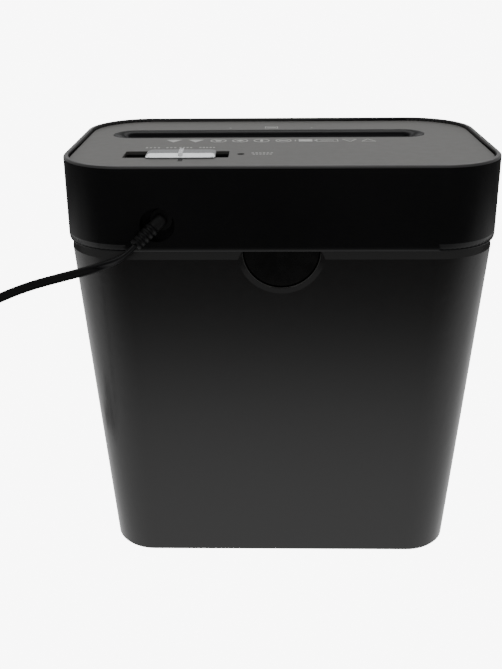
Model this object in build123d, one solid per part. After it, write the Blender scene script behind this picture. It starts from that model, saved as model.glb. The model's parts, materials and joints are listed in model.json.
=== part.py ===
from build123d import *
import math
import os

# Desk-side paper shredder: tapered bin below, motorised cutter head above.
# Millimetres. +Z up, origin at the centre of the footprint, -Y front, +Y back (cord side).

# ------------------------------------------------------------------ driving dimensions
W, D, H, R = 312.0, 188.0, 316.0, 48.0          # head outline and overall height
HEAD_Z = 255.5                                  # lower edge of the head
CH_H, CH_IN = 5.5, 1.7                          # chamfer round the head's lower edge
RIM_Z = 255.0                                   # top of the bin
BIN_TOP = (308.6, 184.6, 46.0)
BIN_BASE = (268.0, 165.3, 33.0)
BIN_WALL, BIN_FLOOR = 2.5, 3.0
BEV_H, BEV_IN = 5.5, 1.5                        # bevel of the bin's rim
TAB_R, NOTCH_R, NOTCH_R2 = 26.0, 27.0, 31.0     # half-round tab and its notch
LIP = 3.6                                       # width of the lip round the top
DECK_Z0, DECK_Z1 = 309.0, 311.2                 # deck of the head shell
PANEL_Z = 313.6                                 # top of the grey panel
SLOT_C = (9.1, -33.3)                           # centre of the paper slot
SLOT_L, SLOT_W, SLOT_FIL = 220.5, 6.0, 12.5     # throat and its rounded mouth
COLLAR_L, COLLAR_W = 247.5, 33.0
KNOB_C = (71.7, 44.4)
WELL_C, WELL = (75.4, 44.4), (75.5, 22.0)       # well of the slide switch
LED_C, LED_R = (29.0, 44.0), 2.5
A_Y, B_Y, CUT_Z = -20.8, -45.8, 268.0           # cutter axes
DISC_R, HUB_R, DISC_T, PITCH = 15.0, 9.5, 3.4, 8.0
N_A, N_B = 28, 27
JOURNAL_R, FIT = 5.0, 0.05
FLOOR_Z = 238.5                                 # upper face of the tray floor
CORD_D = 5.6

os.makedirs("parts", exist_ok=True)


def rr(w, d, r, z):
    return Plane.XY.offset(z) * RectangleRounded(w, d, r)


def tub(sections):
    """Solid through rounded rectangles (w, d, r, z), lowest first."""
    return loft([rr(*s) for s in sections], ruled=True)


def prism(w, d, r, z0, z1, x=0.0, y=0.0):
    return Pos(x, y, 0) * extrude(rr(w, d, r, z0), z1 - z0)


def block(x0, x1, y0, y1, z0, z1):
    return Pos((x0 + x1) / 2, (y0 + y1) / 2, (z0 + z1) / 2) * Box(x1 - x0, y1 - y0, z1 - z0)


def stadium(length, width, z0, z1, x=SLOT_C[0], y=SLOT_C[1]):
    return extrude(Plane((x, y, z0)) * SlotOverall(length, width), z1 - z0)


def rod_x(r, x0, x1, y, z):
    return Pos((x0 + x1) / 2, y, z) * Rot(0, 90, 0) * Cylinder(r, x1 - x0)


def rod_z(r, z0, z1, x, y):
    return Pos(x, y, (z0 + z1) / 2) * Cylinder(r, z1 - z0)


def yz_plate(points, x0, x1):
    """Plate whose outline is drawn in Y and Z, between two X planes."""
    face = Plane.YZ * make_face(Polyline(*points, close=True))
    return Pos(x0, 0, 0) * extrude(face, x1 - x0)


def xz_plate(points, y0, y1):
    face = Plane.XZ * make_face(Polyline(*points, close=True))
    return Pos(0, y1, 0) * extrude(face, y1 - y0)


def solids_of(shape):
    return shape.solids()


def save(name, *shapes):
    parts = []
    for s in shapes:
        parts += list(s) if isinstance(s, (list, tuple, ShapeList)) else list(s.solids())
    out = parts[0] if len(parts) == 1 else Compound(children=parts)
    export_step(out, f"parts/{name}.step")


# ------------------------------------------------------------------ bin
bw, bd, br = BIN_TOP
cw, cd_, cr = BIN_BASE
t_b = (RIM_Z - BEV_H) / RIM_Z
DRAFT_Y = math.atan((bd - cd_) / 2 / RIM_Z)
outer = tub([
    (cw - 2.4, cd_ - 2.4, cr - 1.2, 0.0),
    (cw, cd_, cr, 1.4),
    (cw + (bw - cw) * t_b, cd_ + (bd - cd_) * t_b, cr + (br - cr) * t_b, RIM_Z - BEV_H),
    (bw - 2 * BEV_IN, bd - 2 * BEV_IN, br - BEV_IN, RIM_Z),
])
inner = tub([
    (cw - 2 * BIN_WALL, cd_ - 2 * BIN_WALL, cr - BIN_WALL, BIN_FLOOR),
    (bw - 2 * BIN_WALL, bd - 2 * BIN_WALL, br - BIN_WALL, RIM_Z + 0.01),
])
under = prism(cw - 26, cd_ - 26, cr - 13, -1, 1.4)
waste_bin = outer - inner - under
gusset = xz_plate([(151.0, 232.6), (131.0, 232.6), (131.0, 226.0), (147.4, 190.0)], -5, 5)
waste_bin = waste_bin + gusset
for s in (1, -1):
    plain = Pos(0, s * 88, RIM_Z) * Rot(90, 0, 0) * Cylinder(NOTCH_R, 20)
    normal = Vector(0, s * math.cos(DRAFT_Y), -math.sin(DRAFT_Y))
    start = Vector(0, s * bd / 2, RIM_Z) - normal * 2.0
    slope = (NOTCH_R2 - NOTCH_R) / 2.0
    cone = Solid.make_cone(NOTCH_R, NOTCH_R + 4.0 * slope, 4.0, Plane(origin=start, z_dir=normal))
    waste_bin = waste_bin - plain - cone
save("waste_bin", waste_bin)

# ------------------------------------------------------------------ head shell and top
body = loft([rr(W - 2 * CH_IN, D - 2 * CH_IN, R - CH_IN, HEAD_Z), rr(W, D, R, HEAD_Z + CH_H)], ruled=True)
upper = prism(W, D, R, HEAD_Z + CH_H, H)
upper = fillet(upper.faces().sort_by(Axis.Z)[-1].outer_wire().edges(), 1.8)
shell = body + upper
shell = shell - prism(306.4, 182.4, R - 2.8, HEAD_Z - 1, DECK_Z0)
recess = prism(W - 2 * LIP, D - 2 * LIP, R - LIP, DECK_Z1, H + 1)
shell = shell - recess
shell = shell - stadium(COLLAR_L + 0.6, COLLAR_W + 0.6, DECK_Z0 - 1, DECK_Z1 + 1)
shell = shell - prism(79.6, 26.0, 2.4, DECK_Z0 - 1, DECK_Z1 + 1, *WELL_C)
shell = shell - rod_z(LED_R + 0.1, DECK_Z0 - 1, DECK_Z1 + 1, *LED_C)
try:
    lip_in = [e for e in shell.edges() if abs(e.center().Z - H) < 0.01 and e.bounding_box().size.Z < 0.01
              and abs(e.center().X) < W / 2 - LIP + 0.01 and abs(e.center().Y) < D / 2 - LIP + 0.01]
    shell2 = fillet(lip_in, 0.5)
    if shell2.is_valid:
        shell = shell2
except Exception as err:
    print("inner lip edge left sharp:", err)
POSTS = [(-128, -66), (-128, 66), (133, -66), (133, 66)]
for x, y in POSTS:
    shell = shell + rod_z(4.5, FLOOR_Z, DECK_Z0 + 0.5, x, y)
for x, y in POSTS:
    shell = shell - rod_z(1.8, FLOOR_Z - 1, FLOOR_Z + 16, x, y)
for x, y in ((24, 26), (24, 64), (106, 26), (106, 64)):
    shell = shell + rod_z(3.0, 293.6, DECK_Z0 + 0.5, x, y)
# well in the back wall that the cord's boot leans out of
BOOT_TIP = Vector(99.6, 103.4, 263.5)
BOOT_DIR = Vector(0.63, 0.545, -0.553).normalized()
BOOT_L = 27.0
BOOT0 = BOOT_TIP - BOOT_DIR * BOOT_L
WELL_XZ = (85.5, 275.0)
well_cup = Pos(WELL_XZ[0], 89.2, WELL_XZ[1]) * Rot(90, 0, 0) * Cylinder(13.8, 9.6)
well_hole = Pos(WELL_XZ[0], 92.0, WELL_XZ[1]) * Rot(90, 0, 0) * Cylinder(12.0, 12.0)
shell = shell + (well_cup - well_hole)
shell = shell - well_hole
head_shell = shell

panel = prism(W - 2 * LIP - 0.9, D - 2 * LIP - 0.9, R - LIP - 0.45, DECK_Z1, PANEL_Z)
panel = panel - stadium(COLLAR_L + 0.5, COLLAR_W + 0.5, DECK_Z1 - 1, PANEL_Z + 1)
panel = panel - prism(WELL[0], WELL[1], 1.6, DECK_Z1 - 1, PANEL_Z + 1, *WELL_C)
panel = panel - rod_z(LED_R + 0.1, DECK_Z1 - 1, PANEL_Z + 1, *LED_C)
top_edges = panel.edges().filter_by(lambda e: abs(e.bounding_box().min.Z - PANEL_Z) < 1e-4)
panel = chamfer(top_edges, 0.3)
save("top_panel", panel)

# feed throat: collar with a rounded mouth, neck down to the cutters, screw flange under the deck
throat = stadium(COLLAR_L, COLLAR_W, 300.5, PANEL_Z - 0.1)
throat = throat + prism(262, 44, 4, 306.6, DECK_Z0, *SLOT_C)
throat = throat + stadium(SLOT_L + 6.0, 12.0, 286.0, 301.0)
throat = throat - stadium(SLOT_L, SLOT_W, 285.0, 315.0)
mouth = [e for e in throat.faces().sort_by(Axis.Z)[-1].inner_wires()[0].edges()]
throat = fillet(mouth, SLOT_FIL)
throat = throat - block(4.5, 13.5, -31.0, -18.5, 285.0, 300.4)     # window of the paper sensor
T_SCREWS = [(SLOT_C[0] + sx * 127.0, SLOT_C[1] + sy * 18.0) for sx in (-1, 1) for sy in (-1, 1)]
for x, y in T_SCREWS:
    throat = throat - rod_z(1.6, 305, 310, x, y)
    head_shell = head_shell - rod_z(1.6, DECK_Z0 - 1, DECK_Z0 + 1.7, x, y)
save("feed_throat", throat)
save("throat_screws", *[rod_z(1.6, 306.0, DECK_Z0 + 1.6, x, y) + rod_z(3.0, 304.6, 306.6, x, y) for x, y in T_SCREWS])
save("head_shell", head_shell)

# ------------------------------------------------------------------ slide switch
well = prism(79.2, 25.6, 2.2, 303.8, DECK_Z1, *WELL_C) - prism(WELL[0], WELL[1], 1.6, 305.3, 320, *WELL_C)
well = well - block(59.5, 92.0, KNOB_C[1] - 2.3, KNOB_C[1] + 2.3, 303, 306)
save("switch_recess", well)

kx, ky = KNOB_C
CAP_Y = 46.6                                     # the cap reaches over the near edge of the well
knob = prism(50.0, 26.0, 5.0, 313.9, 315.9, kx, CAP_Y)
knob = fillet(knob.faces().sort_by(Axis.Z)[-1].edges(), 1.7)
fin = Pos(kx, CAP_Y + 0.4, 316.0) * Box(3.2, 20.0, 1.8)
fin = fillet(fin.edges().filter_by(Axis.Z), 1.4)
fin = fillet(fin.faces().sort_by(Axis.Z)[-1].edges(), 0.8)
knob = knob + fin
knob = knob + block(kx - 2.0, kx + 2.0, ky - 1.6, ky + 1.6, 298.7, 314.5)
save("switch_knob", knob)

sw = block(57.7, 93.7, 38.4, 50.4, 293.6, 299.6) - block(59.7, 91.7, ky - 2.2, ky + 2.2, 298.1, 300)
sw = chamfer(sw.faces().sort_by(Axis.Z)[0].edges(), 0.4)
save("slide_switch", sw)

# lamp window and the lamp below it
lens = rod_z(LED_R, 300.0, 313.4, *LED_C)
lens = fillet(lens.faces().sort_by(Axis.Z)[-1].edges(), 0.9)
save("indicator_lens", lens)
led = rod_z(2.4, 293.6, 297.0, *LED_C) + rod_z(1.5, 296.5, 299.6, *LED_C)
save("status_led", led)

# circuit board with its larger components
board = block(20, 110, 22, 68, 292.0, 293.6)
for x, y in ((24, 26), (24, 64), (106, 26), (106, 64)):
    board = board - rod_z(1.3, 291, 294, x, y)
save("circuit_board", board)
comps = [
    rod_z(5.0, 276.0, 292.0, 36, 56),
    fillet(block(48, 67, 50, 65, 277.0, 292.0).edges().filter_by(Axis.Z), 1.0),
    fillet(block(72, 90, 54, 64, 280.0, 292.0).edges().filter_by(Axis.Z), 1.0),
    block(94, 104, 30, 54, 282.0, 292.0),
    rod_z(3.2, 283.0, 292.0, 34, 36),
    rod_z(3.2, 283.0, 292.0, 42, 36),
    block(50, 64, 28, 33, 270.0, 292.0),
]
save("board_components", *comps)

# ------------------------------------------------------------------ base tray with the half-round tabs
TW, TD, TR = 296.0, 172.0, 40.0
tray = prism(TW, TD, TR, 236.0, 256.5)
tray = tray + prism(305.4, 181.4, 44.6, 256.0, 258.5)
tray = tray - prism(TW - 5, TD - 5, TR - 2.5, FLOOR_Z, 260.0)
tray = tray - block(-100, 118, -50, -16, 235, 240)                # shreds fall through here
for s in (1, -1):
    disc = Pos(0, s * 89.0, HEAD_Z) * Rot(90, 0, 0) * Cylinder(TAB_R, 4.0)
    disc = disc & block(-40, 40, s * 89.0 - 3, s * 89.0 + 3, 220, 257.5)
    flat = block(-TAB_R, TAB_R, min(s * 87.0, s * 91.0), max(s * 87.0, s * 91.0), HEAD_Z - 0.5, 257.5)
    tab = disc + (flat & disc)
    dish = Pos(0, s * (91.0 - 1.7 + 150.0), 249.0) * Sphere(150.0)
    tab = tab - dish
    web = block(-16, 16, min(s * 85.5, s * 87.5), max(s * 85.5, s * 87.5), 240, 256.5)
    tray = tray + tab + web
tray = tray - rod_z(3.6, 235, 240, 138, 0)
for x, y in POSTS:
    tray = tray - rod_z(1.8, 235, 240, x, y)
PLATE_SCREWS = [(-102, -59), (-102, 8), (118, -60), (118, -8)]
for x, y in PLATE_SCREWS:
    tray = tray - rod_z(1.5, 235, 240, x, y)
tray = tray + block(129, 143, -14, -11, 238, 262) + block(129, 143, 11, 14, 238, 262)
save("base_tray", tray)

screws = []
for x, y in POSTS:
    s = rod_z(4.0, 233.6, 236.0, x, y) + rod_z(1.8, 235.5, 252.0, x, y)
    s = s - Pos(x, y, 233.6) * Box(5.0, 1.0, 1.6) - Pos(x, y, 233.6) * Box(1.0, 5.0, 1.6)
    screws.append(s)
save("casing_screws", *screws)

# ------------------------------------------------------------------ chassis
def side_plate(x0, x1, y1, inward):
    pl = yz_plate([(-70, FLOOR_Z), (y1, FLOOR_Z), (y1, 290), (y1 - 6, 296) if y1 < 20 else (y1 - 4, 296),
                   (-64, 296), (-70, 290)], x0, x1)
    for y in (A_Y, B_Y):
        pl = pl - rod_x(7.0, x0 - 1, x1 + 1, y, CUT_Z)
    return pl


TIES = [(-62.0, 247.0), (-4.0, 247.0), (-60.0, 289.0), (-6.0, 289.0)]
C2 = (9.0, CUT_Z + math.sqrt(30.0 ** 2 - (9.0 - A_Y) ** 2))
C1 = (33.5, C2[1] - math.sqrt(26.0 ** 2 - (33.5 - 9.0) ** 2))
MO = (45.0, C1[1] + math.sqrt(21.75 ** 2 - (45.0 - 33.5) ** 2))
STAND = [(58.0, 257.0), (22.0, 293.0), (-10.5, 243.0)]
drive = side_plate(-109, -107, 62, 1)
drive = drive + block(-109, -97, -64, -54, FLOOR_Z, FLOOR_Z + 2) + block(-109, -97, 3, 13, FLOOR_Z, FLOOR_Z + 2)
idle = side_plate(124, 126, 4, -1)
idle = idle + block(113, 126, -65, -55, FLOOR_Z, FLOOR_Z + 2) + block(113, 126, -13, -3, FLOOR_Z, FLOOR_Z + 2)
for y, z in TIES:
    drive = drive - rod_x(2.0, -110, -106, y, z)
    idle = idle - rod_x(2.0, 123, 127, y, z)
drive = drive - rod_x(3.0, -110, -106, *C2) - rod_x(3.0, -110, -106, *C1) - rod_x(6.0, -110, -106, *MO)
M_SCREWS = [(MO[0] - 12, MO[1]), (MO[0] + 12, MO[1])]
for y, z in M_SCREWS:
    drive = drive - rod_x(1.5, -110, -106, y, z)
for x, y in PLATE_SCREWS:
    if x < 0:
        drive = drive - rod_z(1.5, 237, 242, x, y)
    else:
        idle = idle - rod_z(1.5, 237, 242, x, y)
save("side_plate_drive", drive)
save("side_plate_idle", idle)
save("tie_bars", *[rod_x(3.0, -107, 124, y, z) + rod_x(2.0, -109.8, 126.8, y, z) for y, z in TIES])
save("plate_screws", *[rod_z(1.5, 236.4, 241, x, y) + rod_z(2.8, 240.5, 242.3, x, y) for x, y in PLATE_SCREWS])

bushes = []
for x0, sgn in ((-109, 1), (124, -1)):
    for y in (A_Y, B_Y):
        if sgn > 0:
            b = rod_x(7.0, -109, -107, y, CUT_Z) + rod_x(9.0, -107, -105, y, CUT_Z)
            b = b - rod_x(JOURNAL_R + FIT, -111, -104, y, CUT_Z)
        else:
            b = rod_x(7.0, 124, 126, y, CUT_Z) + rod_x(9.0, 122, 124, y, CUT_Z)
            b = b - rod_x(JOURNAL_R + FIT, 121, 128, y, CUT_Z)
        bushes.append(b)
save("cutter_bushes", *bushes)


# ------------------------------------------------------------------ cutters
def disc_face(phase):
    """Round disc with two hooked notches."""
    pts = []
    a0 = math.radians(phase)
    steps = 36
    for i in range(steps):
        a = 2 * math.pi * i / steps
        deg = (360.0 * i / steps) % 180.0
        if 0 < deg < 20:
            continue
        if deg == 0:
            pts.append((DISC_R, a))
            pts.append((DISC_R - 3.4, a + math.radians(3)))
            continue
        pts.append((DISC_R, a))
    return [(r * math.cos(a + a0), r * math.sin(a + a0)) for r, a in pts]


def cutter(y, centres, x_hi, x_lo, phase0):
    discs = []
    for i, x in enumerate(centres):
        pts = [(y + p[0], CUT_Z + p[1]) for p in disc_face(phase0 + 25.0 * i)]
        discs.append(yz_plate(pts, x - DISC_T / 2, x + DISC_T / 2))
    hub = rod_x(HUB_R, -103.0, 120.5, y, CUT_Z) + rod_x(JOURNAL_R, x_lo, x_hi, y, CUT_Z)
    return hub.fuse(*discs)


A_X = [-98.0 + PITCH * k for k in range(N_A)]
B_X = [-94.0 + PITCH * k for k in range(N_B)]
save("cutter_rear", cutter(A_Y, A_X, 127.0, -125.6, 0.0))
save("cutter_front", cutter(B_Y, B_X, 127.0, -117.4, 12.0))


def comb(y, side, gaps):
    """Stripper fingers that reach round the hub between the discs, on one bar."""
    y0, y1 = y + side * 16.6, y + side * 19.6
    bar = block(-107, 124, min(y0, y1), max(y0, y1), 259, 277)
    fingers = []
    for x in gaps:
        f = block(x - 1.7, x + 1.7, min(y + side * 2.5, y0 + side), max(y + side * 2.5, y0 + side), 260.5, 275.5)
        fingers.append(f)
    c = bar.fuse(*fingers)
    return c - rod_x(HUB_R + 0.8, -104, 122, y, CUT_Z)


save("stripper_comb_rear", comb(A_Y, 1, [x + PITCH / 2 for x in A_X[:-1]]))
save("stripper_comb_front", comb(B_Y, -1, [x + PITCH / 2 for x in B_X[:-1]]))


# ------------------------------------------------------------------ gear train
def involute_outline(n, m, phase, backlash=0.12, pa=20.0, flank=4):
    """Outline of a spur gear in polar form, one tooth centred on the phase angle (degrees)."""
    rp = n * m / 2
    rb = rp * math.cos(math.radians(pa))
    ra = rp + 0.92 * m
    rf = rp - 1.2 * m
    inv = lambda r: math.sqrt(max((r / rb) ** 2 - 1, 0)) - math.atan(math.sqrt(max((r / rb) ** 2 - 1, 0)))
    half_p = (math.pi * m / 2 - backlash) / 2 / rp
    r0 = max(rb, rf + 0.05)
    pts = []
    for k in range(n):
        c = math.radians(phase) + 2 * math.pi * k / n
        rs = [r0 + (ra - r0) * i / (flank - 1) for i in range(flank)]
        half = [half_p + inv(rp) - inv(r) for r in rs]
        base_half = half[0] if rf >= rb else half[0] * 1.02
        left = [(rf, c - base_half)] + [(r, c - h) for r, h in zip(rs, half)]
        right = [(r, c + h) for r, h in zip(rs[::-1], half[::-1])] + [(rf, c + base_half)]
        pts += left + right
    return [(r * math.cos(a), r * math.sin(a)) for r, a in pts]


def gear(n, m, x0, x1, centre, phase):
    pts = [(centre[0] + p[0], centre[1] + p[1]) for p in involute_outline(n, m, phase)]
    return yz_plate(pts, x0, x1)


def mate_phase(n1, p1, c1, n2, c2):
    """Phase of the second gear so that it is in mesh with the first."""
    th = math.degrees(math.atan2(c2[1] - c1[1], c2[0] - c1[0]))
    a1 = ((th - p1) / (360.0 / n1)) % 1.0
    a2 = (0.5 - a1) % 1.0
    return th + 180.0 - (360.0 / n2) * a2


A_C, B_C = (A_Y, CUT_Z), (B_Y, CUT_Z)
ph_a = 0.0
ph_b = mate_phase(20, ph_a, A_C, 20, B_C)
ph_f = 0.0
ph_2p = mate_phase(36, ph_f, A_C, 12, C2)
ph_2g = 0.0
ph_1p = mate_phase(40, ph_2g, C2, 12, C1)
ph_1g = 0.0
ph_m = mate_phase(48, ph_1g, C1, 10, MO)

g_a = gear(20, 1.25, -117, -111, A_C, ph_a) - rod_x(JOURNAL_R, -118, -110, *A_C)
g_b = gear(20, 1.25, -117, -111, B_C, ph_b) - rod_x(JOURNAL_R, -118, -110, *B_C)
save("cutter_gear_rear", g_a)
save("cutter_gear_front", g_b)
g_f = gear(36, 1.25, -125, -119.5, A_C, ph_f) + rod_x(8.5, -119.6, -117.0, *A_C)
g_f = g_f - rod_x(JOURNAL_R, -126, -116, *A_C)
save("final_gear", g_f)
g2 = gear(12, 1.25, -126.2, -118.6, C2, ph_2p) + gear(40, 1.0, -131, -126.2, C2, ph_2g)
g2 = g2 - rod_x(3.0 + FIT, -132, -117, *C2)
save("reduction_gear_2", g2)
g1 = gear(12, 1.0, -132.3, -125.4, C1, ph_1p) + gear(48, 0.75, -136, -132.3, C1, ph_1g)
g1 = g1 - rod_x(3.0 + FIT, -137, -124, *C1)
save("reduction_gear_1", g1)
save("motor_pinion", gear(10, 0.75, -137, -132, MO, ph_m) - rod_x(2.0, -138, -131, *MO))
save("motor_shaft", rod_x(2.0, -137.0, -70.0, *MO))

save("gear_axles", rod_x(3.0, -139.5, -107, *C2), rod_x(3.0, -139.5, -107, *C1))
br_pts = [(-15, 239.5), (62, 246), (62, 264), (40, 300), (16, 300), (-15, 276)]
bracket = yz_plate(br_pts, -139.5, -138)
bracket = bracket - rod_x(3.0, -141, -137, *C2) - rod_x(3.0, -141, -137, *C1)
bracket = bracket - rod_x(5.0, -141, -137, *MO)
for y, z in STAND:
    bracket = bracket - rod_x(1.5, -141, -137, y, z)
save("gear_bracket", bracket)
save("gear_standoffs", *[rod_x(3.0, -138, -109, y, z) + rod_x(1.5, -139.5, -138, y, z)
                         + rod_x(2.6, -141.0, -139.5, y, z) for y, z in STAND])

# ------------------------------------------------------------------ motor
case = rod_x(21.0, -107, -40, *MO)
case = fillet(case.edges().filter_by(GeomType.CIRCLE).group_by(Axis.X)[0], 1.5)
case = case - rod_x(2.0 + FIT, -108, -69, *MO)
for y, z in M_SCREWS:
    case = case - rod_x(1.5, -108, -101, y, z)
save("motor_case", case)
bell = rod_x(20.0, -40, -31, *MO) + rod_x(6.5, -31.5, -27, *MO)
bell = bell + block(-31.2, -27.5, MO[0] + 8, MO[0] + 13, MO[1] - 4, MO[1] + 4)
save("motor_end_bell", bell)
save("motor_screws", *[rod_x(1.5, -109.5, -102, y, z) + rod_x(2.8, -111, -109, y, z) for y, z in M_SCREWS])
saddle = block(-62, -50, MO[0] - 16, MO[0] + 16, FLOOR_Z, MO[1] - 12) - rod_x(21.0, -63, -49, *MO)
save("motor_bracket", saddle)

# ------------------------------------------------------------------ paper sensor
SP = (-19.0, 297.0)                              # pivot (Y, Z)
yoke = block(2.0, 16.0, -14.5, -8.0, 293.0, 306.6)
yoke = yoke + block(2.0, 4.2, SP[0] - 2.6, -13.5, 294.0, 300.0) + block(13.8, 16.0, SP[0] - 2.6, -13.5, 294.0, 300.0)
yoke = yoke + rod_x(1.2, 3.0, 15.0, *SP)
save("sensor_switch", yoke)
lever = rod_x(2.4, 5.6, 12.4, *SP)
arm_pts = [(-20.2, 298.6), (-35.2, 292.2), (-35.2, 290.2), (-34.0, 289.8), (-19.6, 295.2)]
lever = lever + yz_plate(arm_pts, 7.2, 10.8)
lever = lever - rod_x(1.2 + FIT, 5, 13, *SP)
save("sensor_lever", lever)

# ------------------------------------------------------------------ interlock worked by the bin
plunger = rod_z(3.5, 233.2, 244.0, 138, 0) + rod_z(4.8, 243.6, 246.0, 138, 0) + rod_z(1.8, 245.5, 251.4, 138, 0)
plunger = fillet(plunger.faces().sort_by(Axis.Z)[0].edges(), 1.0)
save("interlock_plunger", plunger)
save("interlock_switch", block(129, 143, -11, 11, 252.2, 262.0))
spring_path = Pos(138, 0, 246.5) * Helix(pitch=1.5, height=5.1, radius=3.3)
spring_prof = Plane(origin=spring_path @ 0, z_dir=spring_path % 0) * Circle(0.42)
spring = sweep(spring_prof, path=spring_path, is_frenet=True)
save("interlock_spring", spring)

# ------------------------------------------------------------------ cord
# boot: ribbed taper that leans out of the well in the back wall
def along(t):
    return BOOT0 + BOOT_DIR * t


stem = Solid.make_cone(4.9, 3.4, BOOT_L, Plane(origin=along(0.0), z_dir=BOOT_DIR))
boot = stem
for i in range(4):
    t = 10.2 + 3.7 * i
    r = 4.9 - 1.5 * t / BOOT_L + 0.75
    boot = boot + Solid.make_cylinder(r, 2.0, Plane(origin=along(t), z_dir=BOOT_DIR))
boot = boot + Solid.make_cylinder(4.3, 2.2, Plane(origin=along(BOOT_L - 2.2), z_dir=BOOT_DIR))
foot = Pos(WELL_XZ[0] - 2.4, 87.6, WELL_XZ[1] + 2.6) * Rot(90, 0, 0) * Cylinder(7.6, 3.2)
boot = boot + foot
boot = boot - block(60, 120, 70, 86.0, 250, 300)
save("strain_relief", boot)
E0 = along(BOOT_L)
print("boot end", E0)

P1 = along(BOOT_L + 8.6)
ROUTE = [
    (E0.X, E0.Y, E0.Z),
    (P1.X, P1.Y, P1.Z),
    (112.3, 113.0, 255.2),
    (127.0, 119.5, 252.0),
    (146.0, 126.3, 249.0),
    (170.0, 133.0, 244.3),
    (196.0, 139.0, 234.5),
    (224.0, 142.5, 213.0),
    (247.0, 144.0, 177.0),
    (262.0, 142.0, 130.0),
    (270.0, 136.0, 80.0),
    (275.0, 126.0, 37.0),
    (280.5, 111.0, 12.5),
    (287.0, 92.0, 3.7),
    (291.0, 72.0, 3.7),
]


def cord_radii(pts):
    out = []
    for a, b, c in zip(pts, pts[1:], pts[2:]):
        u, v = Vector(*b) - Vector(*a), Vector(*c) - Vector(*b)
        turn = u.get_angle(v)
        r = 0.45 * min(u.length, v.length) / math.tan(math.radians(turn / 2))
        out.append(r)
        print(f"  run {u.length:6.1f} {v.length:6.1f} turn {turn:5.1f} radius {r:6.1f}")
    return out


radii = cord_radii(ROUTE)
path = FilletPolyline(*ROUTE, radius=radii)
prof = Plane(origin=path @ 0, z_dir=path % 0) * Circle(CORD_D / 2)
tube = sweep(prof, path=path)
print("tube length", round(path.length, 1), "volume ratio", round(tube.volume / (math.pi * CORD_D ** 2 / 4 * path.length), 4))
save("power_cord", tube)

# the put-away length: a neat round coil of flex lying flat, its tie, and the plug beside it
last, prev = Vector(*ROUTE[-1]), Vector(*ROUTE[-2])
tdir = (last - prev).normalized()
COIL_R0, COIL_R1, COIL_Z0, COIL_Z1 = 24.0, 37.6, 0.9, 12.4
side = Vector(-tdir.Y, tdir.X, 0)                # to the left of the cord's way
COIL_C = last + tdir * 24.0 + side * (COIL_R1 - CORD_D / 2)
print("coil centre", COIL_C, "tangent", tdir)
coil = rod_z(COIL_R1, COIL_Z0, COIL_Z1, COIL_C.X, COIL_C.Y) - rod_z(COIL_R0, -1, COIL_Z1 + 1, COIL_C.X, COIL_C.Y)
coil = fillet(coil.edges().filter_by(GeomType.CIRCLE), 2.6)
stub = Solid.make_cylinder(CORD_D / 2, 25.0, Plane(origin=last, z_dir=tdir))
tail_y = COIL_C.Y - COIL_R1 - 0.1
tail = Solid.make_cylinder(CORD_D / 2, COIL_C.Y - 3 - tail_y, Plane(origin=(COIL_C.X - COIL_R1 + CORD_D / 2, COIL_C.Y - 3, 7.0), z_dir=(0, -1, 0)))
coil = coil + stub + tail
save("cord_coil", coil)
# tie: a flat band round the turns at one side
ang = math.radians(60)
tie_r = (COIL_R0 + COIL_R1) / 2
tie_at = Pos(COIL_C.X + tie_r * math.cos(ang), COIL_C.Y + tie_r * math.sin(ang), (COIL_Z0 + COIL_Z1) / 2) * Rot(0, 0, math.degrees(ang))
tie = tie_at * Box(15.8, 6.0, 13.3) - tie_at * Box(14.2, 8.0, 11.7)
save("cord_tie", tie)
# plug lying flat beside the coil, pins pointing away from it
PX, PY, PZ = COIL_C.X - COIL_R1 + CORD_D / 2, COIL_C.Y - COIL_R1 - 21.0, 7.0


def across(y):
    return Plane(origin=(PX, y, PZ), x_dir=(1, 0, 0), z_dir=(0, -1, 0))


plug_b = loft([across(PY + 20.9) * RectangleRounded(9, 8, 3.6), across(PY + 8) * RectangleRounded(20, 12.4, 5.6),
               across(PY - 6) * RectangleRounded(34, 13.6, 6.2)], ruled=True)
plug_b = plug_b + extrude(across(PY - 6) * RectangleRounded(34, 13.6, 6.2), 7)
save("plug_body", plug_b)
pins = [Solid.make_cylinder(2.4, 19.0, Plane(origin=(PX + sx * 9.5, PY - 13.0, PZ), z_dir=(0, -1, 0))) for sx in (-1, 1)]
save("plug_pins", *pins)
print("plug", PX, PY, PZ)
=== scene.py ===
import json
import math

import bmesh
import bpy
from mathutils import Matrix, Vector


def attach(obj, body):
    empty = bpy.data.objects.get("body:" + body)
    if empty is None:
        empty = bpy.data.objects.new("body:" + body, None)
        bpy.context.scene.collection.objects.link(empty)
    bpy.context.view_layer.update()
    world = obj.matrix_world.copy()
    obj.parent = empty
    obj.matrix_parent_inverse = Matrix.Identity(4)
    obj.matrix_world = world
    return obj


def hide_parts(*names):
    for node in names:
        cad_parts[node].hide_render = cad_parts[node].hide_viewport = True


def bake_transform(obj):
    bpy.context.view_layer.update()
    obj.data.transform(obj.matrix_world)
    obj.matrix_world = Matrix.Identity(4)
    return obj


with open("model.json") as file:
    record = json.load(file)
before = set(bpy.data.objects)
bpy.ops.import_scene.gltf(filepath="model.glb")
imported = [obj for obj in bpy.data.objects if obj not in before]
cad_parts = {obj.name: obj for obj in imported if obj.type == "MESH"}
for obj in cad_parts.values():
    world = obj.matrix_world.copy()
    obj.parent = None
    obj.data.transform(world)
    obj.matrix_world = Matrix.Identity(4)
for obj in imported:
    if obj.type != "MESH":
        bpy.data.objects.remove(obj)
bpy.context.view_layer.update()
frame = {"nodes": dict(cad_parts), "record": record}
N = frame["nodes"]
MM = 0.001
PAPER = 8.5
TABLE_NEAR, TABLE_FAR = 1.25, 0.07
SKY, SKY_BACK = 0.48, 0.46
KEY = 3.0
BEHIND = 6.0


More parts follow.
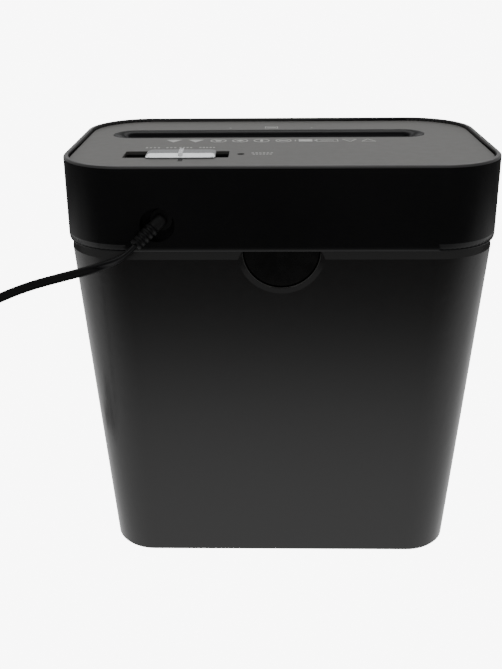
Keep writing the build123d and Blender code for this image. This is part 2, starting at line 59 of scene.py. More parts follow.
# ------------------------------------------------------------------ materials
def new_mat(name):
    m = bpy.data.materials.new(name)
    m.use_nodes = True
    nt = m.node_tree
    for n in list(nt.nodes):
        nt.nodes.remove(n)
    out = nt.nodes.new("ShaderNodeOutputMaterial")
    bs = nt.nodes.new("ShaderNodeBsdfPrincipled")
    nt.links.new(bs.outputs["BSDF"], out.inputs["Surface"])
    return m, nt, bs


def coords(nt, scale=(1, 1, 1)):
    tc = nt.nodes.new("ShaderNodeTexCoord")
    mp = nt.nodes.new("ShaderNodeMapping")
    mp.inputs["Scale"].default_value = scale
    nt.links.new(tc.outputs["Object"], mp.inputs["Vector"])
    return mp.outputs["Vector"]


def noise(nt, vec, scale, detail=4.0, rough=0.55):
    n = nt.nodes.new("ShaderNodeTexNoise")
    n.inputs["Scale"].default_value = scale
    n.inputs["Detail"].default_value = detail
    n.inputs["Roughness"].default_value = rough
    nt.links.new(vec, n.inputs["Vector"])
    return n.outputs["Fac"]


def ramp(nt, fac, a, b, lo, hi):
    """Fac between a and b becomes a number between lo and hi."""
    r = nt.nodes.new("ShaderNodeMapRange")
    r.inputs["From Min"].default_value = a
    r.inputs["From Max"].default_value = b
    r.inputs["To Min"].default_value = lo
    r.inputs["To Max"].default_value = hi
    nt.links.new(fac, r.inputs["Value"])
    return r.outputs["Result"]


def mix_col(nt, fac, c0, c1):
    m = nt.nodes.new("ShaderNodeMix")
    m.data_type = "RGBA"
    m.inputs["A"].default_value = (*c0, 1)
    m.inputs["B"].default_value = (*c1, 1)
    nt.links.new(fac, m.inputs["Factor"])
    return m.outputs["Result"]


def bump(nt, height, strength, dist, normal=None):
    b = nt.nodes.new("ShaderNodeBump")
    b.inputs["Strength"].default_value = strength
    b.inputs["Distance"].default_value = dist
    nt.links.new(height, b.inputs["Height"])
    if normal is not None:
        nt.links.new(normal, b.inputs["Normal"])
    return b.outputs["Normal"]


def plastic(name, col, rough, spec=0.5, grain=0.0, grain_scale=2600.0, wave=0.0, var=0.12, rvar=0.05, coat=0.0, ior=1.5, metallic=0.0):
    """Moulded plastic: slight colour and gloss variation, fine moulded grain, very faint waviness of large faces."""
    m, nt, bs = new_mat(name)
    v = coords(nt)
    big = noise(nt, v, 7.0, 3.0)
    fine = noise(nt, v, 140.0, 4.0)
    c1 = tuple(min(1.0, c * (1 + var) + 0.0008) for c in col)
    c0 = tuple(c * (1 - var) for c in col)
    nt.links.new(mix_col(nt, ramp(nt, big, 0.3, 0.7, 0, 1), c0, c1), bs.inputs["Base Color"])
    nt.links.new(ramp(nt, fine, 0.3, 0.7, max(0.02, rough - rvar), rough + rvar), bs.inputs["Roughness"])
    bs.inputs["Specular IOR Level"].default_value = spec
    bs.inputs["IOR"].default_value = ior
    bs.inputs["Metallic"].default_value = metallic
    if coat:
        bs.inputs["Coat Weight"].default_value = coat
        bs.inputs["Coat Roughness"].default_value = 0.12
    nrm = None
    if wave:
        nrm = bump(nt, noise(nt, v, 9.0, 1.0), wave, 0.001)
    if grain:
        nrm = bump(nt, noise(nt, v, grain_scale, 3.0, 0.6), grain, 0.00005, nrm)
    if nrm is not None:
        nt.links.new(nrm, bs.inputs["Normal"])
    return m


def metal(name, col, rough, stretch=(1, 1, 1), scratch=0.25, metallic=1.0):
    m, nt, bs = new_mat(name)
    v = coords(nt, stretch)
    lines = noise(nt, v, 420.0, 5.0, 0.7)
    big = noise(nt, coords(nt), 25.0, 3.0)
    c1 = tuple(min(1.0, c * 1.12) for c in col)
    c0 = tuple(c * 0.82 for c in col)
    nt.links.new(mix_col(nt, ramp(nt, big, 0.3, 0.7, 0, 1), c0, c1), bs.inputs["Base Color"])
    nt.links.new(ramp(nt, lines, 0.3, 0.7, max(0.05, rough - 0.08), rough + 0.1), bs.inputs["Roughness"])
    bs.inputs["Metallic"].default_value = metallic
    nt.links.new(bump(nt, lines, scratch, 0.00004), bs.inputs["Normal"])
    return m


M = {
    "bin": plastic("bin_plastic_satin", (0.0046, 0.0042, 0.0040), 0.25, 0.44, grain=0.16, wave=0.008, var=0.05, rvar=0.012),
    # lip: the head's black plastic made several times lighter for the top lip faces, on a satin finish: a painted
    # highlight along the lip
    "lip": plastic("head_lip_satin_painted_highlight", (0.030, 0.029, 0.029), 0.3, 0.5, grain=0.06, var=0.06, rvar=0.02),
    # bead: about four times lighter than the bin plastic and glossier: the notch edge's highlight line painted into its
    # colour
    "bead": plastic("bin_edge_painted_highlight", (0.02, 0.019, 0.018), 0.22, 0.6, grain=0.05, var=0.05),
    "head": plastic("head_plastic_gloss", (0.0045, 0.0045, 0.0048), 0.2, 0.24, grain=0.05, wave=0.008, rvar=0.015),
    "panel": plastic("panel_satin_grey", (0.089, 0.0868, 0.0815), 0.36, 0.35, grain=0.22, grain_scale=2200.0, var=0.035, rvar=0.015),
    "throat": plastic("throat_gloss_black", (0.004, 0.004, 0.0045), 0.22, 0.2, grain=0.08, ior=1.18),
    "well": plastic("well_black", (0.004, 0.004, 0.004), 0.6, 0.2, grain=0.3),
    "knob": plastic("knob_silver", (0.360, 0.367, 0.374), 0.2, 0.5, grain=0.03, var=0.03, rvar=0.02, metallic=0.86),
    # rib: near-white, far lighter than the knob's silver: the rib's bright outline highlight painted into its colour
    "rib": plastic("rib_silver_painted_highlight", (0.80, 0.81, 0.82), 0.3, 0.5, grain=0.1),
    "lens": plastic("lens_smoke", (0.0015, 0.0015, 0.002), 0.5, 0.02),
    "tray": plastic("tray_satin", (0.0035, 0.0034, 0.0032), 0.26, 0.22, grain=0.2),
    "boot": plastic("boot_rubber", (0.003, 0.003, 0.0034), 0.42, 0.22, grain=0.3, ior=1.45),
    "flex": plastic("flex_pvc", (0.003, 0.003, 0.0034), 0.3, 0.16, grain=0.15),
    "plug": plastic("plug_pvc", (0.008, 0.008, 0.0085), 0.36, 0.45, grain=0.4),
    "nylon": plastic("nylon_natural", (0.62, 0.60, 0.53), 0.42, 0.4, grain=0.3),
    "black_nylon": plastic("nylon_black", (0.02, 0.02, 0.021), 0.45, 0.4, grain=0.4),
    "pcb": plastic("phenolic_board", (0.21, 0.13, 0.045), 0.5, 0.4, grain=0.3),
    "component": plastic("component_mouldings", (0.03, 0.03, 0.035), 0.4, 0.5, grain=0.2),
    "led": plastic("led_epoxy", (0.45, 0.05, 0.04), 0.12, 0.5),
    "steel": metal("cutter_steel", (0.42, 0.42, 0.43), 0.32, (1, 8, 8)),
    "plate": metal("zinc_plate", (0.55, 0.56, 0.58), 0.36, (2, 2, 2), 0.15),
    "bright": metal("ground_steel", (0.66, 0.66, 0.68), 0.18, (1, 12, 12), 0.1),
    "bronze": metal("sintered_bronze", (0.52, 0.33, 0.13), 0.42, (1, 1, 1), 0.4),
    "tie": plastic("woven_band", (0.02, 0.02, 0.021), 0.8, 0.15, grain=0.9, grain_scale=900.0),
}
SLOT_MAT = {
    "bin_plastic": "bin", "head_plastic": "head", "panel_grey": "panel", "throat_black": "throat", "well_black": "well",
    "knob_silver": "knob", "lens_smoke": "lens", "tray_plastic": "tray", "cutter_steel": "steel", "plate_steel": "plate",
    "comb_nylon": "black_nylon", "bush_bronze": "bronze", "gear_steel": "steel", "gear_nylon": "nylon",
    "axle_steel": "bright", "motor_steel": "plate", "motor_end": "black_nylon", "pcb": "pcb", "component": "component",
    "led": "led", "switch_body": "black_nylon", "lever_plastic": "nylon", "spring_steel": "bright",
    "screw_zinc": "plate", "boot_rubber": "boot", "flex_pvc": "flex", "tie_black": "tie", "plug_pvc": "plug",
    "pin_brass": "bright",
}
slot_of = {s["node"]: s["material_slot"] for s in frame["record"]["subparts"]}
for name, o in N.items():
    mat = M[SLOT_MAT[slot_of[name]]]
    if not o.material_slots:
        o.data.materials.append(mat)
    for ms in o.material_slots:
        ms.material = mat

# ------------------------------------------------------------------ helpers for new pieces
def link(name, bm, mat, body=None, smooth=True, angle=35):
    me = bpy.data.meshes.new(name)
    bmesh.ops.recalc_face_normals(bm, faces=bm.faces)
    bm.to_mesh(me)
    bm.free()
    o = bpy.data.objects.new(name, me)
    me.materials.append(mat)
    bpy.context.scene.collection.objects.link(o)
    if smooth:
        me.shade_smooth()
        me.set_sharp_from_angle(angle=math.radians(angle))
        for f_ in me.polygons:
            if max(abs(c_) for c_ in f_.normal) > 0.99995:
                f_.use_smooth = False
    if body:
        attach(o, body)
    return o


# ------------------------------------------------------------------ power cord: one flex from the boot to the plug
ROUTE = [
    (0.0996, 0.1034, 0.2635), (0.10502, 0.10809, 0.25874), (0.1123, 0.1130, 0.2552), (0.127, 0.1195, 0.252),
    (0.146, 0.1263, 0.249), (0.170, 0.133, 0.2443), (0.196, 0.139, 0.2345), (0.224, 0.1425, 0.213),
    (0.247, 0.144, 0.177), (0.262, 0.142, 0.130), (0.270, 0.136, 0.080), (0.275, 0.126, 0.037),
    (0.2805, 0.111, 0.0125), (0.287, 0.092, 0.0037), (0.291, 0.072, 0.0037),
]
COIL_C = Vector((0.329831, 0.055291, 0.0))
CORD_W, CORD_T = 0.0062, 0.0035
LOW, HIGH = 0.0037, 0.0094
coil_pts = []
PER = 16
k_turns = 4
a0 = math.radians(200.0)
total = k_turns * 360 - 24
nn = int(PER * total / 360)
for i in range(nn + 1):
    ang = math.radians(total * i / nn) + a0
    turns = total * i / nn / 360.0
    outer, inner = 0.0346, 0.0291
    if turns < 0.9:
        r, z = outer, LOW
    elif turns < 1.1:
        f = (turns - 0.9) / 0.2
        r, z = outer + (inner - outer) * f, LOW
    elif turns < 1.88:
        r, z = inner, LOW
    elif turns < 2.12:
        f = (turns - 1.88) / 0.24
        r, z = inner, LOW + (HIGH - LOW) * f
    elif turns < 2.9:
        r, z = inner, HIGH
    elif turns < 3.1:
        f = (turns - 2.9) / 0.2
        r, z = inner + (outer - inner) * f, HIGH
    else:
        r, z = outer, HIGH
    r = r * 1.0198
    coil_pts.append((COIL_C.x + r * math.cos(ang), COIL_C.y + r * math.sin(ang), z))
PLUG_TAIL = Vector((0.295031, 0.0176, 0.0070))
end_pts = [(0.29512, 0.0490, 0.0090), (0.29503, 0.0390, 0.0082), (0.29503, 0.0290, 0.0073), (0.29503, 0.0165, 0.0070)]
cu = bpy.data.curves.new("cord_line", "CURVE")
cu.dimensions = "3D"
sp = cu.splines.new("NURBS")
pts = ROUTE + [(0.2937, 0.0585, 0.0037)] + coil_pts + end_pts
sp.points.add(len(pts) - 1)
for p, q in zip(sp.points, pts):
    p.co = (*q, 1.0)
sp.order_u = 3
sp.use_endpoint_u = True
sp.resolution_u = 8
line_o = bpy.data.objects.new("cord_line", cu)
bpy.context.scene.collection.objects.link(line_o)
line_me = bpy.data.meshes.new_from_object(line_o)
line = [v.co.copy() for v in line_me.vertices]
bpy.data.objects.remove(line_o)
bpy.data.meshes.remove(line_me)
clean = [line[0]]
for p in line[1:]:
    if (p - clean[-1]).length > 0.0012:
        clean.append(p)
line = clean
run = [0.0]
for p, q in zip(line, line[1:]):
    run.append(run[-1] + (q - p).length)


def twin(n=28):
    """Outline of flat twin flex: two insulated cores side by side with a shallow groove between them."""
    out = []
    for i in range(n):
        a = 2 * math.pi * i / n
        c, s = math.cos(a), math.sin(a)
        w = CORD_W / 2
        t = CORD_T / 2
        x = w * abs(c) ** 0.75 * (1 if c >= 0 else -1)
        y = t * abs(s) ** 0.75 * (1 if s >= 0 else -1)
        y *= 1 - 0.26 * math.exp(-((x / 0.00075) ** 2))
        out.append((x, y))
    return out


sec = twin()
bm = bmesh.new()
rings = []
view_dir = Vector((0.02, -0.93, -0.36)).normalized()
up_z = Vector((0, 0, 1))
for i, p in enumerate(line):
    t = (line[min(i + 1, len(line) - 1)] - line[max(i - 1, 0)]).normalized()
    sdist = run[i]
    f1 = min(1.0, max(0.0, (sdist - 0.008) / 0.036))
    f1 = f1 * f1 * (3 - 2 * f1)
    th = math.radians(10 + 80 * f1)
    la = (view_dir - t * view_dir.dot(t)).normalized()
    lb = t.cross(la)
    w1 = la * math.cos(th) + lb * math.sin(th)
    f2 = min(1.0, max(0.0, (sdist - 0.20) / 0.16))
    f2 = f2 * f2 * (3 - 2 * f2)
    flat = (up_z - t * up_z.dot(t))
    flat = flat.normalized() if flat.length > 0.2 else w1
    if w1.dot(flat) < 0:
        flat = -flat
    w = (w1 * (1 - f2) + flat * f2).normalized()
    w = (w - t * w.dot(t)).normalized()
    h = t.cross(w)
    g = 1.0 if sdist > 0.012 else 0.86 + 0.14 * sdist / 0.012
    gw = g * (1 - 0.1 * f2)
    rings.append([bm.verts.new(p + w * (x * gw) + h * (y * g)) for x, y in sec])
for r0, r1 in zip(rings, rings[1:]):
    m_ = len(r0)
    for j in range(m_):
        bm.faces.new((r0[j], r0[(j + 1) % m_], r1[(j + 1) % m_], r1[j]))
bm.faces.new(rings[0][::-1])
bm.faces.new(rings[-1])
cord = link("flex_cord", bm, M["flex"], None, True, 60)
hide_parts("power_cord", "cord_coil")
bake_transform(cord)
print("CORD length", run[-1])

# ------------------------------------------------------------------ printed marks on the top panel: plain generic signs
PZ = 0.31364
ink, ink_nt, ink_bs = new_mat("print_grey")
iv = coords(ink_nt)
ink_nt.links.new(mix_col(ink_nt, ramp(ink_nt, noise(ink_nt, iv, 900.0, 3.0), 0.35, 0.65, 0, 1), (0.40, 0.40, 0.39), (0.52, 0.52, 0.50)), ink_bs.inputs["Base Color"])
ink_nt.links.new(ramp(ink_nt, noise(ink_nt, iv, 300.0, 2.0), 0.3, 0.7, 0.45, 0.6), ink_bs.inputs["Roughness"])
sign = bmesh.new()


def poly(points, z0=PZ - 0.00006, z1=PZ + 0.00004):
    """A thin printed patch: points in metres, seen from above."""
    lo = [sign.verts.new((x, y, z0)) for x, y in points]
    hi = [sign.verts.new((x, y, z1)) for x, y in points]
    n = len(points)
    sign.faces.new(hi)
    sign.faces.new(lo[::-1])
    for i in range(n):
        sign.faces.new((lo[i], lo[(i + 1) % n], hi[(i + 1) % n], hi[i]))


def at(cx, cy, pts_mm):
    """Points in mm about a centre; x runs to the reader's right, who stands at the back (+Y) edge and reads towards -Y."""
    return [((cx - x) * MM, (cy + y) * MM) for x, y in pts_mm]


def strip(cx, cy, a, b, w=0.7):
    ax, ay = a
    bx, by = b
    d = math.hypot(bx - ax, by - ay)
    nx, ny = -(by - ay) / d * w / 2, (bx - ax) / d * w / 2
    poly(at(cx, cy, [(ax + nx, ay + ny), (bx + nx, by + ny), (bx - nx, by - ny), (ax - nx, ay - ny)]))


def ring(cx, cy, ro, ri, n=28):
    for i in range(n):
        a, b = 2 * math.pi * i / n, 2 * math.pi * (i + 1) / n
        poly(at(cx, cy, [(ro * math.cos(a), ro * math.sin(a)), (ro * math.cos(b), ro * math.sin(b)),
                         (ri * math.cos(b), ri * math.sin(b)), (ri * math.cos(a), ri * math.sin(a))]))


def frame_rect(cx, cy, w, h, t=0.8):
    for a, b in (((-w / 2, -h / 2), (w / 2, -h / 2)), ((w / 2, -h / 2), (w / 2, h / 2)), ((w / 2, h / 2), (-w / 2, h / 2)), ((-w / 2, h / 2), (-w / 2, -h / 2))):
        strip(cx, cy, a, b, t)


ICON_Y = -4.5
for cx in (82.0, 65.0):
    poly(at(cx, ICON_Y, [(-6.0, -4.2), (6.0, -4.2), (0.0, 5.4)]))
for i, cx in enumerate((47.6, 30.9, 14.4, -2.5)):
    ring(cx, ICON_Y, 6.2, 5.2)
    if i == 0:
        poly(at(cx, ICON_Y, [(-2.6, -2.4), (2.6, -2.4), (1.6, 3.2), (-1.6, 3.2)]))
    elif i == 1:
        poly(at(cx, ICON_Y, [(-3.2, 0.4), (0, -3.4), (3.2, 0.4), (0, 3.4)]))
    elif i == 2:
        poly(at(cx, ICON_Y, [(-1.0, -3.8), (1.0, -3.8), (1.0, 3.8), (-1.0, 3.8)]))
    else:
        poly(at(cx, ICON_Y, [(-3.6, -1.0), (3.6, -1.0), (3.6, 1.0), (-3.6, 1.0)]))
poly(at(-19.4, ICON_Y, [(-5.2, -4.2), (5.2, -4.2), (5.2, 4.2), (-5.2, 4.2)]))
strip(-19.4, ICON_Y, (-7.8, -2.6), (-7.8, 2.6), 0.9)
strip(-19.4, ICON_Y, (7.4, -2.6), (7.4, 2.6), 0.9)
frame_rect(-36.0, ICON_Y, 16.0, 9.0)
strip(-36.0, ICON_Y, (-5.0, -1.4), (5.0, -1.4), 0.8)
strip(-36.0, ICON_Y, (-5.0, 1.8), (5.0, 1.8), 0.8)
for cx, f in ((-53.3, 1), (-67.5, -1)):
    strip(cx, ICON_Y, (-5.4, -4.4 * f), (5.4, -4.4 * f), 0.9)
    strip(cx, ICON_Y, (5.4, -4.4 * f), (0.0, 5.0 * f), 0.9)
    strip(cx, ICON_Y, (0.0, 5.0 * f), (-5.4, -4.4 * f), 0.9)
# paper-feed sign above the slot, tick dots beside it
frame_rect(6.6, -60.0, 9.8, 9.0)
poly(at(6.6, -60.0, [(-3.6, 0.2), (3.6, 0.2), (3.6, 2.2), (-3.6, 2.2)]))
ring(40.4, -57.5, 0.9, 0.1, 12)
ring(-26.4, -57.5, 0.9, 0.1, 12)
# slider positions: rows of short bars
SY = 20.8
for cx, w_ in ((95.2, 11.9), (81.5, 8.9), (70.7, 10.6), (54.7, 12.7)):
    n_ = int(w_ / 2.4)
    for i in range(n_):
        x = -w_ / 2 + (i + 0.5) * w_ / n_
        poly(at(cx, SY, [(x - 0.75, -1.5), (x + 0.75, -1.5), (x + 0.75, 1.5), (x - 0.75, 1.5)]))
# dashes beside the lamp
for row, w_ in ((40.6, 16.5), (45.0, 14.5)):
    n_ = int(w_ / 2.4)
    for i in range(n_):
        x = -w_ / 2 + (i + 0.5) * w_ / n_
        poly(at(13.6, row, [(x - 0.8, -1.0), (x + 0.8, -1.0), (x + 0.8, 1.0), (x - 0.8, 1.0)]))
signs = link("panel_marks", sign, ink, "head", False)
tick = bmesh.new()
sign = tick
poly(at(71.0, 63.5, [(-1.6, -4.0), (1.6, -4.0), (1.6, 4.0), (-1.6, 4.0)]))
tk = link("setting_tick", tick, M["well"], "head", False)

# ------------------------------------------------------------------ head shell: lower edge rolled over instead of the plain bevel
def copy_of(node):
    o = N[node]
    bm = bmesh.new()
    bm.from_mesh(o.data)
    bm.transform(o.matrix_world)
    bmesh.ops.remove_doubles(bm, verts=bm.verts, dist=2e-6)
    return bm


def outward(x, y, hx, hy, r):
    """Direction straight out of a rounded rectangle's side at a point."""
    cx = min(max(x, -(hx - r)), hx - r)
    cy = min(max(y, -(hy - r)), hy - r)
    d = Vector((x - cx, y - cy, 0))
    return d.normalized() if d.length > 1e-9 else Vector((0, 0, 0))


hb = copy_of("head_shell")
Z0, Z1, INSET = 0.2555, 0.2610, 0.0017
levels = [Z1 - (Z1 - Z0) * f for f in (0.3, 0.5, 0.66, 0.78, 0.87, 0.93, 0.97)]
for z in levels:
    bmesh.ops.bisect_plane(hb, geom=list(hb.verts) + list(hb.edges) + list(hb.faces), plane_co=(0, 0, z), plane_no=(0, 0, 1), dist=1e-7)
for v in hb.verts:
    x, y, z = v.co
    if Z0 + 1e-5 < z < Z1 - 1e-5:
        u = (Z1 - z) / (Z1 - Z0)
        d = outward(x, y, 0.156, 0.094, 0.048)
        cx = min(max(x, -0.108), 0.108)
        cy = min(max(y, -0.046), 0.046)
        dist = Vector((x - cx, y - cy)).length
        now = 0.048 - INSET * u
        if abs(dist - now) < 2e-5:
            new = 0.048 - INSET * (1 - max(0.0, 1 - u ** 3) ** (1 / 3))
            v.co += d * (new - dist)
head = link("head_shell_body", hb, M["head"], None, True, 28)
hv = head.data.vertices
for e in head.data.edges:
    if all(abs(hv[i].co.z - Z1) < 1.5e-5 for i in e.vertices):
        e.use_edge_sharp = True
# the top lip faces take the lighter lip material: painted highlight along the lip
head.data.materials.append(M["lip"])
for f_ in head.data.polygons:
    if f_.center.z > 0.3138:
        f_.material_index = 1
flat = {}
for f_ in head.data.polygons:
    for k_ in f_.edge_keys:
        flat.setdefault(k_, []).append(f_.normal.y > 0.9999)
for e in head.data.edges:
    a_, b_ = (hv[i].co for i in e.vertices)
    near = all(0.060 < c.x < 0.112 and 0.257 < c.z < 0.295 and c.y > 0.08 for c in (a_, b_))
    sides = flat.get(tuple(sorted(e.vertices)), [])
    if near and len(sides) == 2 and sides[0] != sides[1]:
        e.use_edge_sharp = True
wn = head.modifiers.new("even_normals", "WEIGHTED_NORMAL")
wn.mode = "FACE_AREA"
wn.weight = 100
wn.keep_sharp = True
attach(head, "head")
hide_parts("head_shell")

# ------------------------------------------------------------------ slide knob: crowned cap falling away to its near edge, with a hollow grip rib
def rrect(cx, cy, hx, hy, r, z, n=8):
    out = []
    for qx, qy, a0_ in ((1, 1, 0), (-1, 1, 90), (-1, -1, 180), (1, -1, 270)):
        for i in range(n + 1):
            a_ = math.radians(a0_ + 90 * i / n)
            out.append(Vector((cx + qx * (hx - r) + r * math.cos(a_), cy + qy * (hy - r) + r * math.sin(a_), z)))
    return out


def loft(bm, loops, cap0=True, cap1=True):
    rows = [[bm.verts.new(p) for p in lp] for lp in loops]
    for r0, r1 in zip(rows, rows[1:]):
        n_ = len(r0)
        for j in range(n_):
            bm.faces.new((r0[j], r0[(j + 1) % n_], r1[(j + 1) % n_], r1[j]))
    if cap0:
        bm.faces.new(rows[0][::-1])
    if cap1:
        bm.faces.new(rows[-1])
    return rows


KX, KY = 0.0717, 0.0466
kb = copy_of("switch_knob")
bmesh.ops.bisect_plane(kb, geom=list(kb.verts) + list(kb.edges) + list(kb.faces), plane_co=(0, 0, 0.3138), plane_no=(0, 0, 1), clear_outer=True, dist=1e-7)
cap_b = bmesh.new()
loops = []
for ins, z in ((0.0, 0.31392), (0.0, 0.31440), (0.12, 0.31484), (0.42, 0.31526), (0.85, 0.31555), (1.35, 0.31575), (1.9, 0.31586), (2.6, 0.31590)):
    loops.append(rrect(KX, KY, 0.025 - ins * MM, 0.013 - ins * MM, max(0.005 - ins * MM, 0.0012), z))
for k_ in (5.0, 7.4, 9.8):
    loops.append(rrect(KX, KY, 0.025 - k_ * MM, 0.013 - k_ * MM, 0.0012, 0.31590))
loft(cap_b, loops)
bmesh.ops.bisect_plane(cap_b, geom=list(cap_b.verts) + list(cap_b.edges) + list(cap_b.faces), plane_co=(0, 0.0502, 0), plane_no=(0, 1, 0), dist=1e-7)
bmesh.ops.bisect_plane(cap_b, geom=list(cap_b.verts) + list(cap_b.edges) + list(cap_b.faces), plane_co=(0, 0.0515, 0), plane_no=(0, 1, 0), dist=1e-7)
for v in cap_b.verts:
    if v.co.y > 0.0502 and v.co.z > 0.31430:
        d_ = v.co.y - 0.0502
        drop = 0.21 * d_ if d_ > 0.0013 else 0.21 * d_ * d_ / 0.0013
        v.co.z -= drop * min(1.0, (v.co.z - 0.31425) / 0.0013)
for v in cap_b.verts:
    v.co.y = 0.0596 - (0.0596 - v.co.y) * 23.4 / 26.0
cap_o = link("knob_cap", cap_b, M["knob"], None, True, 24)
rib = bmesh.new()
RX, R0, R1 = 0.0717, 0.0385, 0.0570
rib_loops = []
for hx_, z, back_ in ((1.62, 0.3139, 0.0), (1.62, 0.3146, 0.0), (1.62, 0.3158, 1.6), (1.55, 0.31668, 3.0), (1.3, 0.31686, 3.3), (1.0, 0.31686, 3.5), (0.85, 0.31665, 3.7), (0.75, 0.31602, 3.9), (0.6, 0.31596, 4.1)):
    end = R1 - back_ * MM
    ln = (end - R0) / 2 - (1.62 - hx_) * MM
    rib_loops.append(rrect(RX, (R0 + end) / 2, hx_ * MM, ln, hx_ * MM * 0.98, z, 6))
loft(rib, rib_loops)
# the rib takes the near-white rib material: painted highlight
rib_o = link("knob_rib", rib, M["rib"], None, True, 40)
knob = link("knob_slide", kb, M["knob"], None, True, 30)
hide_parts("switch_knob")
for o_ in (knob, cap_o, rib_o):
    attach(o_, "knob")

# ------------------------------------------------------------------ top panel: let into the head with a shadow gap all round
pb = copy_of("top_panel")
for v in pb.verts:
    x, y, z = v.co
    cx = min(max(x, -(0.15195 - 0.04395)), 0.15195 - 0.04395)
    cy = min(max(y, -(0.08995 - 0.04395)), 0.08995 - 0.04395)
    if Vector((x - cx, y - cy)).length > 0.0433:
        v.co -= outward(x, y, 0.15195, 0.08995, 0.04395) * 0.0005
panel = link("panel_plate", pb, M["panel"], "head", True, 20)
panel.modifiers.new("even_normals", "WEIGHTED_NORMAL").keep_sharp = True
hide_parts("top_panel")

# ------------------------------------------------------------------ cord boot: the part that sits in the well takes the duller well material as painted shade; the ribs keep the boot material
boot_b = copy_of("strain_relief")
boot_o = link("boot_ribbed", boot_b, M["boot"], None, True, 30)
boot_o.data.materials.append(M["well"])
b0 = Vector((0.0826, 0.0887, 0.2784))
bd = Vector((0.63, 0.545, -0.553)).normalized()
# faces within 9.3 mm of the boot's inner end take the well material: painted shade of the well
for f_ in boot_o.data.polygons:
    if (f_.center - b0).dot(bd) < 0.0093:
        f_.material_index = 1
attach(boot_o, "head")
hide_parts("strain_relief")

# ------------------------------------------------------------------ bin: thin bead along the thumb notch edge, both faces; its rounding catches real highlights and its lighter plastic adds a painted highlight line
def tube(bm, pts, r, n=10):
    rows = []
    for i, p in enumerate(pts):
        t = (pts[min(i + 1, len(pts) - 1)] - pts[max(i - 1, 0)]).normalized()
        side = t.cross(Vector((0, 1, 0))).normalized()
        upv = side.cross(t)
        rows.append([bm.verts.new(p + (side * math.cos(2 * math.pi * j / n) + upv * math.sin(2 * math.pi * j / n)) * r) for j in range(n)])
    for r0, r1 in zip(rows, rows[1:]):
        for j in range(n):
            bm.faces.new((r0[j], r0[(j + 1) % n], r1[(j + 1) % n], r1[j]))
    bm.faces.new(rows[0][::-1])
    bm.faces.new(rows[-1])


bead = bmesh.new()
for sgn in (1, -1):
    arc = []
    for i in range(49):
        a_ = math.radians(183 + 174 * i / 48)
        z_ = 255.0 + 27.35 * math.sin(a_)
        arc.append(Vector((27.35 * math.cos(a_), sgn * (82.65 + 9.65 * z_ / 255.0 - 1.62), z_)) * MM)
    tube(bead, arc, 0.00042)
bead_o = link("notch_bead", bead, M["bead"], "bin", True, 60)

# ------------------------------------------------------------------ stage
def stage_mesh(name, verts, faces, mat, camera=True, glossy=True, diffuse=True):
    me = bpy.data.meshes.new(name)
    me.from_pydata(verts, [], faces)
    o = bpy.data.objects.new(name, me)
    me.materials.append(mat)
    bpy.context.scene.collection.objects.link(o)
    o.visible_camera = camera
    o.visible_glossy = glossy
    o.visible_diffuse = diffuse
    o.visible_shadow = False
    o.visible_transmission = camera
    return o


def emitter(name, strength):
    m = bpy.data.materials.new(name)
    m.use_nodes = True
    nt = m.node_tree
    for n in list(nt.nodes):
        nt.nodes.remove(n)
    out = nt.nodes.new("ShaderNodeOutputMaterial")
    em = nt.nodes.new("ShaderNodeEmission")
    em.inputs["Color"].default_value = (1, 1, 1, 1)
    em.inputs["Strength"].default_value = strength
    nt.links.new(em.outputs["Emission"], out.inputs["Surface"])
    return m, nt, em


def square(h, z):
    return [(-h, -h, z), (h, -h, z), (h, h, z), (-h, h, z)]


# the pale floor and the sweep behind it, lit evenly to paper white
paper, _, _ = emitter("paper_white", PAPER)
stage_mesh("floor", square(14.0, -0.0003), [(0, 1, 2, 3)], paper, glossy=False, diffuse=False)
H = 13.0
sweep_v = square(H, -0.5) + square(H, 16.0)
stage_mesh("sweep", sweep_v, [(0, 1, 5, 4), (1, 2, 6, 5), (2, 3, 7, 6), (3, 0, 4, 7), (4, 5, 6, 7)], paper, glossy=False, diffuse=False)
# the same floor as the gloss of the object sees it: bright round the object, falling off towards the dark end of the room
table, tnt, tem = emitter("table_in_reflections", 1.0)
tc = tnt.nodes.new("ShaderNodeTexCoord")
sx = tnt.nodes.new("ShaderNodeSeparateXYZ")
tnt.links.new(tc.outputs["Object"], sx.inputs["Vector"])


def tmath(op, *args):
    n = tnt.nodes.new("ShaderNodeMath")
    n.operation = op
    for i, v in enumerate(args):
        if isinstance(v, float):
            n.inputs[i].default_value = v
        else:
            tnt.links.new(v, n.inputs[i])
    return n.outputs[0]


far_x = tmath("MULTIPLY", tmath("MAXIMUM", tmath("SUBTRACT", tmath("ABSOLUTE", sx.outputs["X"]), 0.10), 0.0), 0.40)
far_y = tmath("MAXIMUM", tmath("SUBTRACT", sx.outputs["Y"], 0.09), 0.0)
far_b = tmath("MULTIPLY", tmath("MAXIMUM", tmath("SUBTRACT", tmath("MULTIPLY", sx.outputs["Y"], -1.0), 0.10), 0.0), 0.72)
far = tmath("SQRT", tmath("ADD", tmath("MULTIPLY", far_x, far_x), tmath("ADD", tmath("MULTIPLY", far_y, far_y), tmath("MULTIPLY", far_b, far_b))))
mr = tnt.nodes.new("ShaderNodeMapRange")
mr.interpolation_type = "SMOOTHERSTEP"
mr.inputs["From Min"].default_value = 0.01
mr.inputs["From Max"].default_value = 0.60
mr.inputs["To Min"].default_value = TABLE_NEAR
mr.inputs["To Max"].default_value = TABLE_FAR
tnt.links.new(far, mr.inputs["Value"])
tnt.links.new(mr.outputs["Result"], tem.inputs["Strength"])
stage_mesh("table_gloss", square(3.0, -0.0006), [(0, 1, 2, 3)], table, camera=False, diffuse=False)

world = bpy.data.worlds.new("studio")
bpy.context.scene.world = world
world.use_nodes = True
wnt = world.node_tree
bg = wnt.nodes["Background"]
bg.inputs["Strength"].default_value = 1.0
wtc = wnt.nodes.new("ShaderNodeTexCoord")
wsx = wnt.nodes.new("ShaderNodeSeparateXYZ")
wnt.links.new(wtc.outputs["Generated"], wsx.inputs["Vector"])


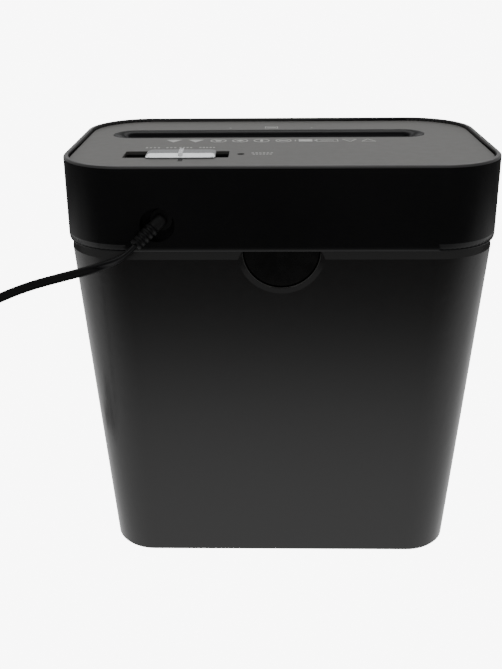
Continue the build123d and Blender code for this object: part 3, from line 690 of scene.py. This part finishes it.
def wramp(src, a, b, lo, hi):
    n = wnt.nodes.new("ShaderNodeMapRange")
    n.interpolation_type = "SMOOTHSTEP"
    n.inputs["From Min"].default_value = a
    n.inputs["From Max"].default_value = b
    n.inputs["To Min"].default_value = lo
    n.inputs["To Max"].default_value = hi
    wnt.links.new(src, n.inputs["Value"])
    return n.outputs["Result"]


# soft room: lighter to the sides and overhead, dimmer where the room opens behind the viewer
dim = wramp(wsx.outputs["Y"], -0.25, 0.85, SKY, SKY_BACK)
bgcol = wnt.nodes.new("ShaderNodeCombineColor")
for c in ("Red", "Green", "Blue"):
    wnt.links.new(dim, bgcol.inputs[c])
wnt.links.new(bgcol.outputs["Color"], bg.inputs["Color"])


def area(name, loc, target, size, power, col=(1, 1, 1)):
    l = bpy.data.lights.new(name, "AREA")
    l.shape = "RECTANGLE"
    l.size, l.size_y = size
    l.energy = power
    l.color = col
    o = bpy.data.objects.new(name, l)
    o.location = loc
    d = Vector(target) - Vector(loc)
    o.rotation_mode = "QUATERNION"
    o.rotation_quaternion = d.to_track_quat("-Z", "Y")
    bpy.context.scene.collection.objects.link(o)
    return o


area("key_overhead", (-0.1, 0.25, 1.5), (0, 0, 0.25), (0.9, 0.6), KEY)
area("soft_behind", (0.0, -0.85, 1.15), (0, 0.04, 0.31), (1.5, 0.45), BEHIND)

cam_d = bpy.data.cameras.new("camera")
cam_d.lens = 36.0 * 897.2 / 669.0
cam_d.sensor_width = 36.0
cam_d.shift_y = -34.5 / 669.0
cam = bpy.data.objects.new("camera", cam_d)
look = Vector((0.0200, -0.9322, -0.3615)).normalized()
right = Vector((-0.99977, -0.02147, 0.0)).normalized()
up = right.cross(look)
roll = math.radians(-0.49)
r2 = right * math.cos(roll) + up * math.sin(roll)
u2 = -right * math.sin(roll) + up * math.cos(roll)
rot = Matrix((r2, u2, -look)).transposed().to_4x4()
cam.matrix_world = Matrix.Translation(Vector((0.00884, 0.684, 0.449))) @ rot
cam_d.clip_start = 0.01
bpy.context.scene.collection.objects.link(cam)
bpy.context.scene.camera = cam
